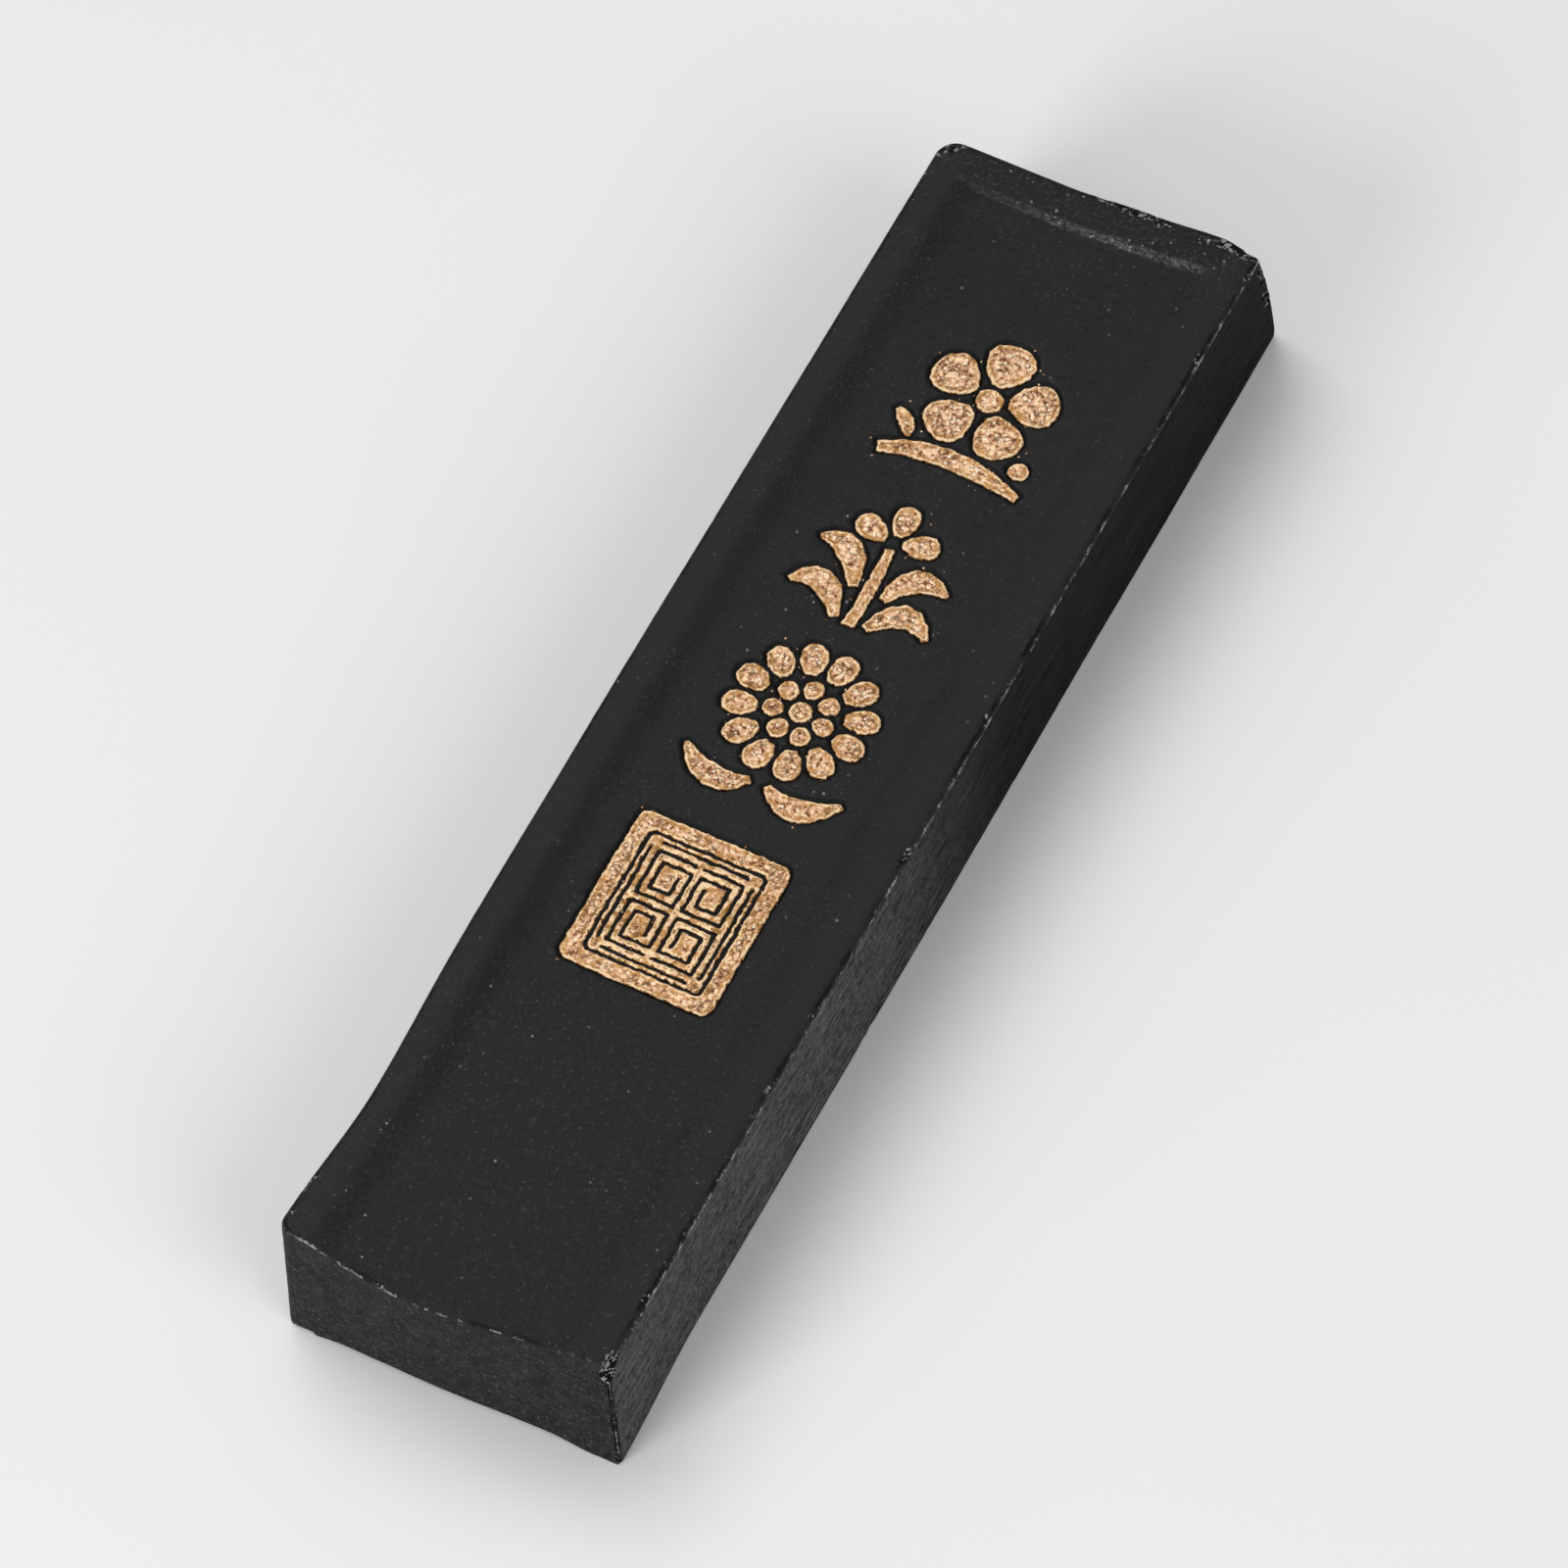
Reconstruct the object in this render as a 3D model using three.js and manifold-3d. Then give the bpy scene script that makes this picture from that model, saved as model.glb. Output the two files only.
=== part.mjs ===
// A moulded ink stick: one bar of soot and animal glue with a sunken panel on each broad face.
// The ornament pressed into the upper panel (plum blossom, orchid, chrysanthemum and a fret seal)
// is filled with gold paint, and every separate patch of paint is its own solid.
import * as THREE from "three";
import { LoftGeometry } from "three/addons/geometries/LoftGeometry.js";
import { mergeVertices } from "three/addons/utils/BufferGeometryUtils.js";
import Module from "manifold-3d";

// Driving dimensions in millimetres, the length along the gilded face. The origin is the centre
// of the underside, +X runs across the width, +Y along the length towards the plum blossom, and
// +Z out of the gilded face.
const LENGTH = 80;
const WIDTH = 20;
const THICKNESS = 11;
const UPRIGHT_RADIUS = 1.1;
const EDGE_RADIUS = 0.35;

// Use has ground this much off the near end, so its rim is gone and its edges are sharp.
const GROUND_OFF = 5;

// The far end leans out, so that the underside reaches this much further than the gilded face.
const FAR_LEAN = 2.2;

const RIM_WIDTH = 2.2;
const PANEL_SLOPE = 0.8;
const PANEL_DEPTH = 0.35;

const RECESS_DEPTH = 0.25;
const GILT_THICKNESS = 0.15;
const GILT_CLEARANCE = 0.06;
const STROKE_GAP = 0.24;

const PLUM = { x: 0.4, y: 25.05, radius: 4.05, centre: 0.85, bud: 0.62 };
const ORCHID = { x: 0, y: 8.2, height: 8.6, reach: 4.4, petalLength: 2.25, petalWidth: 1.6 };
const CHRYSANTHEMUM = { x: 0.25, y: 1.9, radius: 4.6, centre: 0.7, outerRing: 2.5 };
const SEAL = { x: -0.05, y: -12.7, width: 9.5, height: 10.6, radius: 0.7, border: 1.15 };
const FRET_PITCH = 0.56;
const SEAL_LINE = 0.2;
const SEAL_RIDGE = 0.14;
const SEAL_RIDGE_RISE = 0.02;

const PANEL_Z = THICKNESS - PANEL_DEPTH;
const RECESS_FLOOR_Z = PANEL_Z - RECESS_DEPTH;
const CUTTER_RISE = 1;

const ARC_STEPS = 2;
const EDGE_STEPS = 3;
const SLOPE_STEPS = 5;
const CURVE_STEPS = 6;

const INK = new THREE.MeshStandardMaterial({ color: 0x2b2c2d, roughness: 0.55, metalness: 0 });
const GILT = new THREE.MeshStandardMaterial({ color: 0xd6a069, roughness: 0.6, metalness: 0.6 });

const wasm = await Module();
wasm.setup();

// ---- solids ----

function toSolid(geometry) {
  const plain = new THREE.BufferGeometry().copy(geometry);
  plain.deleteAttribute("normal");
  plain.deleteAttribute("uv");
  const merged = mergeVertices(plain);
  return new wasm.Manifold(new wasm.Mesh({
    numProp: 3,
    vertProperties: merged.getAttribute("position").array,
    triVerts: new Uint32Array(merged.index.array),
  }));
}

function toGeometry(solid) {
  const { vertProperties, triVerts } = solid.getMesh();
  const geometry = new THREE.BufferGeometry();
  geometry.setAttribute("position", new THREE.BufferAttribute(vertProperties, 3));
  geometry.setIndex(new THREE.BufferAttribute(triVerts, 1));
  const flat = geometry.toNonIndexed();
  flat.computeVertexNormals();
  return flat;
}

// A flat slab of an outline. `grow` moves the whole outline outwards by that much.
function slab(shape, height, grow = 0) {
  return new THREE.ExtrudeGeometry(shape, {
    depth: height,
    curveSegments: CURVE_STEPS,
    bevelEnabled: grow > 0,
    bevelThickness: 0,
    bevelSize: grow,
    bevelSegments: 0,
  });
}

// ---- outlines; each starts at the origin and points along +Y ----

// The handles of the two curves reach past the half width, so that the petal is about `width` wide.
function petalShape(length, width, baseWidth) {
  const lower = { x: width * 0.72, y: length * 0.4 };
  const upper = { x: width * 0.6, y: length };
  const shape = new THREE.Shape();
  shape.moveTo(-baseWidth / 2, 0);
  shape.bezierCurveTo(-lower.x, lower.y, -upper.x, upper.y, 0, length);
  shape.bezierCurveTo(upper.x, upper.y, lower.x, lower.y, baseWidth / 2, 0);
  return shape;
}

function discShape(radius) {
  return new THREE.Shape().absarc(0, 0, radius, 0, 2 * Math.PI);
}

function roundedRectangle(width, height, radius) {
  const right = width / 2 - radius;
  const top = height / 2 - radius;
  const shape = new THREE.Shape();
  shape.absarc(right, top, radius, 0, Math.PI / 2);
  shape.absarc(-right, top, radius, Math.PI / 2, Math.PI);
  shape.absarc(-right, -top, radius, Math.PI, 1.5 * Math.PI);
  shape.absarc(right, -top, radius, 1.5 * Math.PI, 2 * Math.PI);
  shape.closePath();
  return shape;
}

// A brush stroke along a curve: it swells from the start width to the full width, then tapers.
function strokeShape(curve, startWidth, fullWidth, endWidth) {
  const left = [];
  const right = [];
  for (let i = 0; i <= CURVE_STEPS; i++) {
    const t = i / CURVE_STEPS;
    const swell = Math.sin(Math.PI * t);
    const halfWidth = (THREE.MathUtils.lerp(startWidth, endWidth, t) * (1 - swell) + fullWidth * swell) / 2;
    const tangent = curve.getTangent(t);
    const side = new THREE.Vector2(-tangent.y, tangent.x).multiplyScalar(halfWidth);
    const point = curve.getPoint(t);
    left.push(point.clone().add(side));
    right.push(point.clone().sub(side));
  }
  return new THREE.Shape([...right, ...left.reverse()]);
}

function arcStroke(start, bend, end, startWidth, fullWidth, endWidth) {
  const curve = new THREE.QuadraticBezierCurve(
    new THREE.Vector2(...start), new THREE.Vector2(...bend), new THREE.Vector2(...end));
  return strokeShape(curve, startWidth, fullWidth, endWidth);
}

// ---- gilt patches: a name, an outline, and its place on the face ----

// A ring of equal petals round a centre, from the inner to the outer radius. Each fills its share
// of the ring at the given fraction of its length.
function petalRing(name, flower, count, innerRadius, outerRadius, fullAt, turn = 0) {
  const length = outerRadius - innerRadius;
  const pitch = 2 * Math.PI / count;
  const share = 2 * Math.sin(pitch / 2);
  const width = (innerRadius + length * fullAt) * share - STROKE_GAP;
  const baseWidth = innerRadius * share / 2;
  const patches = [];
  for (let i = 0; i < count; i++) {
    const angle = turn - i * pitch;
    patches.push({
      name: `${name}_${i + 1}_gilt`,
      shape: petalShape(length, width, baseWidth),
      x: flower.x - innerRadius * Math.sin(angle),
      y: flower.y + innerRadius * Math.cos(angle),
      angle,
    });
  }
  return patches;
}

function plumPatches() {
  const { x, y, radius, centre, bud } = PLUM;
  const twigDrop = 0.9;
  const twigY = y - radius - twigDrop;
  return [
    ...petalRing("plum_petal", PLUM, 5, centre + STROKE_GAP, radius, 0.54),
    { name: "plum_centre_gilt", shape: discShape(centre), x, y, angle: 0 },
    {
      name: "plum_twig_gilt",
      shape: arcStroke([-4.4, -0.5], [-0.8, 1.3], [4.4, -0.35], 0.8, 1.4, 0.6),
      x, y: twigY, angle: 0,
    },
    {
      name: "plum_leaf_gilt",
      shape: arcStroke([-3.1, 0.85], [-3.5, 1.8], [-4.5, 2.35], 0.4, 0.95, 0.35),
      x, y: twigY, angle: 0,
    },
    { name: "plum_bud_gilt", shape: discShape(bud), x: x + 3.6, y: twigY + 1.35, angle: 0 },
  ];
}

// Four arching blades round an upright stalk, with three petals fanned over its top.
function orchidPatches() {
  const { x, y, height, reach, petalLength, petalWidth } = ORCHID;
  const blades = [
    [[-0.95, 0.1], [-2.6, 3.3], [-reach, 1.3]],
    [[-0.95, 2.3], [-1.9, 5.6], [-4.1, 4.6]],
    [[0.95, 0.1], [2.5, 3.1], [reach, 0.9]],
    [[0.95, 2.2], [1.8, 5.3], [4.2, 4.0]],
  ].map((points, i) => ({
    name: `orchid_blade_${i + 1}_gilt`,
    shape: arcStroke(...points, 0.6, 1.65, 0.4),
    x, y, angle: 0,
  }));
  const petalRadius = 0.5;
  const flower = { x: x - 0.15, y: y + height - petalLength - petalRadius };
  const petals = [72, 0, -72].map((degrees, i) => {
    const angle = THREE.MathUtils.degToRad(degrees);
    return {
      name: `orchid_petal_${i + 1}_gilt`,
      shape: petalShape(petalLength, petalWidth, petalWidth / 4),
      x: flower.x - petalRadius * Math.sin(angle),
      y: flower.y + petalRadius * Math.cos(angle),
      angle,
    };
  });
  return [
    ...blades,
    {
      name: "orchid_stalk_gilt",
      shape: arcStroke([0, -0.1], [0.1, 2.6], [-0.15, height - 3.1], 0.9, 0.8, 0.6),
      x, y, angle: 0,
    },
    ...petals,
  ];
}

function chrysanthemumPatches() {
  const { x, y, radius, centre, outerRing } = CHRYSANTHEMUM;
  const innerRing = centre + STROKE_GAP;
  const innerTip = outerRing - STROKE_GAP;
  const leafDrop = 0.75;
  const leaves = [-1, 1].map((side, i) => ({
    name: `chrysanthemum_leaf_${i + 1}_gilt`,
    shape: arcStroke([side * 0.5, 0.25], [side * 2.6, -1.5], [side * 4.9, 0.85], 0.5, 1.6, 0.35),
    x, y: y - radius - leafDrop, angle: 0,
  }));
  return [
    { name: "chrysanthemum_centre_gilt", shape: discShape(centre), x, y, angle: 0 },
    ...petalRing("chrysanthemum_inner_petal", CHRYSANTHEMUM, 7, innerRing, innerTip, 0.55),
    ...petalRing("chrysanthemum_outer_petal", CHRYSANTHEMUM, 12, outerRing, radius, 0.48, Math.PI / 12),
    ...leaves,
  ];
}

// ---- seal: a gilt tablet divided by thin ink lines ----

// A rectangular spiral that winds inwards by one pitch a turn. Each line is [x1, y1, x2, y2].
function spiralLines(left, bottom, right, top, pitch) {
  const lines = [];
  let from = left;
  for (let inset = 0; right - left > 2 * inset + pitch / 2; inset += pitch) {
    const [west, south, east, north] = [left + inset, bottom + inset, right - inset, top - inset];
    lines.push(
      [from, north, east, north],
      [east, south, east, north],
      [west, south, east, south],
      [west, south, west, north - pitch],
    );
    from = west;
  }
  return lines;
}

// The lines of the fret, from the seal's centre: a second frame that stays open at its corners,
// round four spirals that mirror each other.
function fretLines() {
  const margin = SEAL.border + FRET_PITCH * 0.75;
  const insideX = SEAL.width / 2 - margin;
  const insideY = SEAL.height / 2 - margin;
  const lines = [];
  for (const side of [-1, 1]) {
    lines.push([side * insideX, FRET_PITCH - insideY, side * insideX, insideY - FRET_PITCH]);
    lines.push([FRET_PITCH - insideX, side * insideY, insideX - FRET_PITCH, side * insideY]);
  }
  const spiral = spiralLines(
    FRET_PITCH / 2, FRET_PITCH / 2, insideX - FRET_PITCH, insideY - FRET_PITCH, FRET_PITCH);
  for (const sideX of [-1, 1]) {
    for (const sideY of [-1, 1]) {
      lines.push(...spiral.map(([x1, y1, x2, y2]) => [x1 * sideX, y1 * sideY, x2 * sideX, y2 * sideY]));
    }
  }
  return lines;
}

function lineBox([x1, y1, x2, y2], thickness, bottom, top) {
  const box = new THREE.BoxGeometry(
    Math.abs(x2 - x1) + thickness, Math.abs(y2 - y1) + thickness, top - bottom);
  box.translate((x1 + x2) / 2, (y1 + y2) / 2, (bottom + top) / 2);
  return toSolid(box);
}

// The closed frame line between the border and the field, with its outer and inner outline.
function frameLoop(thickness) {
  const { width, height, radius, border } = SEAL;
  const loop = roundedRectangle(
    width - 2 * border + thickness, height - 2 * border + thickness, radius / 2 + thickness / 2);
  loop.holes.push(roundedRectangle(
    width - 2 * border - thickness, height - 2 * border - thickness, radius / 2 - thickness / 2));
  return loop;
}

function sealLines(thickness, bottom, top) {
  const frame = toSolid(slab(frameLoop(thickness), top - bottom).translate(0, 0, bottom));
  return fretLines().reduce((sum, line) => sum.add(lineBox(line, thickness, bottom, top)), frame);
}

function sealTablet(height, grow) {
  return toSolid(slab(roundedRectangle(SEAL.width, SEAL.height, SEAL.radius), height, grow));
}

function sealGilt() {
  const tablet = sealTablet(GILT_THICKNESS, 0);
  const lines = sealLines(SEAL_LINE, -GILT_THICKNESS, 2 * GILT_THICKNESS);
  const inside = toSolid(slab(roundedRectangle(
    SEAL.width - 2 * SEAL.border, SEAL.height - 2 * SEAL.border, SEAL.radius / 2), GILT_THICKNESS));
  const gilt = tablet.subtract(lines);
  return { border: gilt.subtract(inside), field: gilt.intersect(inside) };
}

function sealRecess() {
  const ridges = sealLines(SEAL_RIDGE, -CUTTER_RISE, GILT_THICKNESS + SEAL_RIDGE_RISE);
  return sealTablet(RECESS_DEPTH + CUTTER_RISE, GILT_CLEARANCE).subtract(ridges);
}

// ---- the bar ----

// A plate as long as the new stick, whose outline steps in or out with height, from a list of
// [inset, height]. farReach says how far its far end stands out at each height.
function plate(profile, farReach) {
  const newLength = LENGTH + GROUND_OFF;
  const sections = profile.map(([inset, z]) =>
    roundedRectangle(WIDTH - 2 * inset, newLength - 2 * inset, UPRIGHT_RADIUS)
      .getPoints(ARC_STEPS)
      .slice(0, -1)
      .map(({ x, y }) => new THREE.Vector3(x, y - GROUND_OFF / 2 + (y > 0 ? farReach(z) : 0), z)));
  return toSolid(new LoftGeometry(sections, { capStart: true, capEnd: true }));
}

function barBlank() {
  const upper = [];
  for (let i = 0; i <= EDGE_STEPS; i++) {
    const angle = i / EDGE_STEPS * Math.PI / 2;
    upper.push([
      EDGE_RADIUS * (1 - Math.cos(angle)),
      THICKNESS - EDGE_RADIUS * (1 - Math.sin(angle)),
    ]);
  }
  const lower = upper.map(([inset, z]) => [inset, THICKNESS - z]).reverse();
  return plate([...lower, ...upper], (z) => FAR_LEAN * (1 - z / THICKNESS));
}

// What the mould presses out of a broad face at height 0: a shallow panel with soft slopes, which
// reaches as much further than the gilded face's own as that broad face does.
function panelCutter(reach) {
  const profile = [];
  for (let i = 0; i <= SLOPE_STEPS; i++) {
    const t = i / SLOPE_STEPS;
    const height = (1 - Math.cos(Math.PI * t)) / 2;
    profile.push([RIM_WIDTH + PANEL_SLOPE * (1 - t), PANEL_DEPTH * (height - 1)]);
  }
  profile.push([RIM_WIDTH, CUTTER_RISE]);
  return plate(profile, () => reach);
}

// Everything of the new stick beyond the ground end.
function groundCutter() {
  const depth = GROUND_OFF + CUTTER_RISE;
  const box = new THREE.BoxGeometry(WIDTH + 2 * CUTTER_RISE, depth, THICKNESS + 2 * CUTTER_RISE);
  box.translate(0, -(LENGTH + depth) / 2, THICKNESS / 2);
  return toSolid(box);
}

// ---- assembly ----

const inkStick = new THREE.Group();
const face = new THREE.Group();
face.position.z = RECESS_FLOOR_Z;
inkStick.add(face);

function addGilt(name, geometry, x, y, angle) {
  const mesh = new THREE.Mesh(geometry, GILT);
  mesh.name = name;
  mesh.position.set(x, y, 0);
  mesh.rotation.z = angle;
  face.add(mesh);
}

function placedCutter(solid, x, y, angle) {
  return solid.rotate([0, 0, THREE.MathUtils.radToDeg(angle)]).translate([x, y, RECESS_FLOOR_Z]);
}

let bar = barBlank()
  .subtract(panelCutter(0).translate([0, 0, THICKNESS]))
  .subtract(panelCutter(FAR_LEAN).rotate([0, 180, 0]))
  .subtract(groundCutter());
for (const { name, shape, x, y, angle } of [
  ...plumPatches(), ...orchidPatches(), ...chrysanthemumPatches(),
]) {
  addGilt(name, slab(shape, GILT_THICKNESS), x, y, angle);
  const cutter = toSolid(slab(shape, RECESS_DEPTH + CUTTER_RISE, GILT_CLEARANCE));
  bar = bar.subtract(placedCutter(cutter, x, y, angle));
}
const seal = sealGilt();
addGilt("seal_border_gilt", toGeometry(seal.border), SEAL.x, SEAL.y, 0);
addGilt("seal_field_gilt", toGeometry(seal.field), SEAL.x, SEAL.y, 0);
bar = bar.subtract(placedCutter(sealRecess(), SEAL.x, SEAL.y, 0));

const inkBar = new THREE.Mesh(toGeometry(bar), INK);
inkBar.name = "ink_bar";
inkStick.add(inkBar);
inkStick.position.y = -FAR_LEAN / 2;

export default inkStick;
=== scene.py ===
"""The looks of the ink stick: a pressed bar of soot and glue with gold paint laid in its ornament.

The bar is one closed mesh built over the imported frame, with its sunken panels, the recesses of the
ornament, worn edges, chips and scrape marks in its geometry. Each gold patch is a paint film of its
own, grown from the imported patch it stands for. Lengths are worked out in millimetres, and every mesh
is turned into metres at the end.
"""
import itertools
import math

import bpy
import numpy as np
from mathutils import Matrix, Quaternion, Vector
from mathutils.bvhtree import BVHTree


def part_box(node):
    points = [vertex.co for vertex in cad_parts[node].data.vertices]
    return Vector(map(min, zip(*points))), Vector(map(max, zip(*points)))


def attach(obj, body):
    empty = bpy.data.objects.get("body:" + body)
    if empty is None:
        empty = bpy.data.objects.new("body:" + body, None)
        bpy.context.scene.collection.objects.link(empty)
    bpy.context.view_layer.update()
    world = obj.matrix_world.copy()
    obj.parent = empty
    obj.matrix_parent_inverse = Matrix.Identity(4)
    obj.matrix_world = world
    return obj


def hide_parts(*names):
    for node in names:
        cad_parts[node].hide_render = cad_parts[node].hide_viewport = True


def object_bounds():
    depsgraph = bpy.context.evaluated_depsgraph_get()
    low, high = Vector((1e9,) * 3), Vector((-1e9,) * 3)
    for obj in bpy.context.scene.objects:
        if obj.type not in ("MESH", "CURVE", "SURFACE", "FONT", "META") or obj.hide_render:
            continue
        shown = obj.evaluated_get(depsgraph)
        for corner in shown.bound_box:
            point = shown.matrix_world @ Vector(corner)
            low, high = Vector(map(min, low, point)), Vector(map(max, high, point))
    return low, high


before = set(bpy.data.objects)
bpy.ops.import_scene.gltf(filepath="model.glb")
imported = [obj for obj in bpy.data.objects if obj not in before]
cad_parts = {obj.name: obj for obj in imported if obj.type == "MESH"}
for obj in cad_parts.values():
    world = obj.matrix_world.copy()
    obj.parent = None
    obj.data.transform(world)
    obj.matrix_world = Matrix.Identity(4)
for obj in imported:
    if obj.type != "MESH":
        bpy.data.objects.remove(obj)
cad_low, cad_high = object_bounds()

MM = 0.001

# The bar's own dimensions come from the frame, and the four after them are the CAD source's too.
bar_low, bar_high = (np.array(corner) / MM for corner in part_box("ink_bar"))
WIDTH, LENGTH, THICKNESS = bar_high - bar_low
HALF_WIDTH, HALF_LENGTH = WIDTH / 2, LENGTH / 2
EDGE_RADIUS = 0.35
PANEL_DEPTH = 0.35
RIM_WIDTH = 2.2
# The underside reaches this much further than the gilded face, at the far end.
FAR_LEAN = 2.2

# The near end is ground flat: its edges are sharp.
GROUND_EDGE_RADIUS = 0.12
# Radii of the plan's corners: near left, near right, far left and far right.
CORNER_RADII = 0.9, 0.35, 1.2, 0.35

GILT_NODES = sorted(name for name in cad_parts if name.endswith("_gilt"))
gilt_low = np.min([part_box(name)[0] for name in GILT_NODES], axis=0) / MM
gilt_high = np.max([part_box(name)[1] for name in GILT_NODES], axis=0) / MM
RECESS_FLOOR = gilt_low[2]

# How fine the meshes are.
FINE, MEDIUM, COARSE = 0.125, 0.16, 0.45
PAINT_VOXEL = 0.07

# Grid lines of the broad faces beside a moulded edge, a ground edge and the panel's far step: the
# inset where each stretch ends, and its spacing.
MOULDED_LINES = (0.95, 0.15), (1.9, 0.3)
GROUND_LINES = (1.2, 0.13), (2.5, 0.3)
FAR_STEP_LINES = *MOULDED_LINES, (2.8, 0.08)
# The fine grid reaches this far past the paint.
PAINT_MARGIN = 0.25
# The walls are finer this close to an upright edge, and outside these heights.
UPRIGHT_REACH = 1.6
FINE_BELOW, FINE_ABOVE = 1.4, 9.4
# Elsewhere this is the spacing across the ends, along the sides, up the walls and amid the underside.
END_SPACING, SIDE_SPACING, ROW_SPACING, UNDER_SPACING = 0.3, 0.45, 0.24, 0.5
# The triangles between a broad face's grid and the walls are this wide.
SEAM = 0.13

# A recess's walls rise within this distance of the paint's outline.
RECESS_WALL = 0.17

# Wear. The ground end's top edge bows out but is set back at its right, and its foot stands out.
NEAR_BOW, NEAR_SETBACK, NEAR_FOOT = 0.9, 0.2, 0.2
# The sides spread towards the ground end, at the foot and all the way up the left one.
FOOT_SPREAD, LEFT_SPREAD = 0.35, 0.3
# The left side is drawn in a little way from the ground end, and the far end bulges.
WAIST, FAR_BULGE = 0.38, 0.35
# A chip's radius varies by this share, and a place cut this deep is broken ink all over.
CHIP_RAGGEDNESS, CHIP_DEPTH = 0.10, 0.03
# The surface is even in a recess, and fully uneven this far from the paint.
EVEN_REACH = 0.4
# The long rims fall away by this much towards their edges.
RIM_CROWN = 0.12
# The panel's far step bows out by this much in its middle.
STEP_BOW = 0.3

# Stands for a place that is nowhere near an edge or the paint.
FAR_AWAY = 9.0

GOLD, PINK_GOLD, RIM_GOLD = (0.62, 0.33, 0.14, 1), (0.70, 0.38, 0.21, 1), (0.56, 0.28, 0.08, 1)
DARK_GOLD, BROWN_GOLD = (0.19, 0.07, 0.018, 1), (0.08, 0.028, 0.006, 1)
LIGHT_GOLD, PALE_GOLD = (1.0, 0.72, 0.44, 1), (1.0, 0.88, 0.70, 1)
# Soot has this much more blue in it than a plain grey.
SOOT_BLUE = 1.06


# ---- noise and curves, on arrays of points in millimetres ----

def lattice(cells, seed):
    """One repeatable number from 0 to 1 for each whole-number point."""
    mixed = (cells[:, 0] * 374761393 + cells[:, 1] * 668265263
             + cells[:, 2] * 1440662683 + seed * 1274126177) & 0xFFFFFFFF
    mixed = ((mixed ^ (mixed >> 13)) * 1103515245) & 0xFFFFFFFF
    mixed = ((mixed ^ (mixed >> 16)) * 668265263) & 0xFFFFFFFF
    return (mixed >> 8 & 0xFFFF) / 0xFFFF


def noise(points, wavelength, seed):
    """Smooth noise from -1 to 1. The wavelength is one number, or one for each axis."""
    scaled = points / np.asarray(wavelength, float)
    cells = np.floor(scaled).astype(np.int64)
    within = scaled - cells
    within = within * within * (3 - 2 * within)
    total = np.zeros(len(points))
    for corner in itertools.product((0, 1), repeat=3):
        weight = np.prod(np.where(corner, within, 1 - within), axis=1)
        total += weight * lattice(cells + np.array(corner), seed)
    return 2 * total - 1


def layered_noise(points, wavelength, seed, layers=3):
    """Noise with finer and weaker layers added, about -1 to 1."""
    wavelength = np.asarray(wavelength, float)
    return sum(noise(points, wavelength / 2 ** i, seed + i) / 2 ** i for i in range(layers))


def rise(value, start, end):
    """A smooth step from 0 at start to 1 at end."""
    t = np.clip((value - start) / (end - start), 0, 1)
    return t * t * (3 - 2 * t)


def paint_warp(points):
    """How far the painted ornament wanders from its drawn outline."""
    flat = points * (1, 1, 0)
    shift = np.zeros_like(points)
    for axis in (0, 1):
        slow = noise(flat, 1.3, 11 + axis)
        quick = layered_noise(flat, 0.38, 21 + axis, 2)
        shift[:, axis] = 0.03 * slow + 0.045 * quick
    return shift


# ---- meshes ----

def link(name, mesh):
    piece = bpy.data.objects.new(name, mesh)
    bpy.context.scene.collection.objects.link(piece)
    return piece


def positions(mesh):
    flat = np.empty(len(mesh.vertices) * 3, np.float32)
    mesh.vertices.foreach_get("co", flat)
    return flat.reshape(-1, 3).astype(float)


def set_positions(mesh, points):
    mesh.vertices.foreach_set("co", points.astype(np.float32).ravel())
    mesh.update()


def normals(mesh):
    flat = np.empty(len(mesh.vertices) * 3, np.float32)
    mesh.vertex_normals.foreach_get("vector", flat)
    return flat.reshape(-1, 3).astype(float)


def store(mesh, name, values):
    """Keeps one number for each vertex, for a material to read."""
    attribute = mesh.attributes.new(name, "FLOAT", "POINT")
    attribute.data.foreach_set("value", np.asarray(values, np.float32))


def shade_smooth(mesh):
    mesh.polygons.foreach_set("use_smooth", np.ones(len(mesh.polygons), bool))


# ---- gold paint ----

def outline_segments(mesh):
    """The ends of the segments round a flat patch's top face, in millimetres, as seen from above."""
    seen = {}
    for polygon in mesh.polygons:
        if polygon.normal.z < 0.9:
            continue
        corners = [tuple(round(c / MM, 3) for c in mesh.vertices[i].co.xy) for i in polygon.vertices]
        for a, b in zip(corners, corners[1:] + corners[:1]):
            key = frozenset((a, b))
            seen[key] = None if key in seen else (a, b)
    ends = np.array([pair for pair in seen.values() if pair])
    return ends[:, 0], ends[:, 1]


def outline_distance(points, starts, ends):
    """How far each place is from the nearest of the segments, seen from above."""
    best = np.full(len(points), np.inf)
    for start, end in zip(starts, ends):
        segment = end - start
        offset = points[:, :2] - start
        share = np.clip(offset @ segment / (segment @ segment), 0, 1)
        best = np.minimum(best, np.linalg.norm(offset - share[:, None] * segment, axis=1))
    return best


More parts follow.
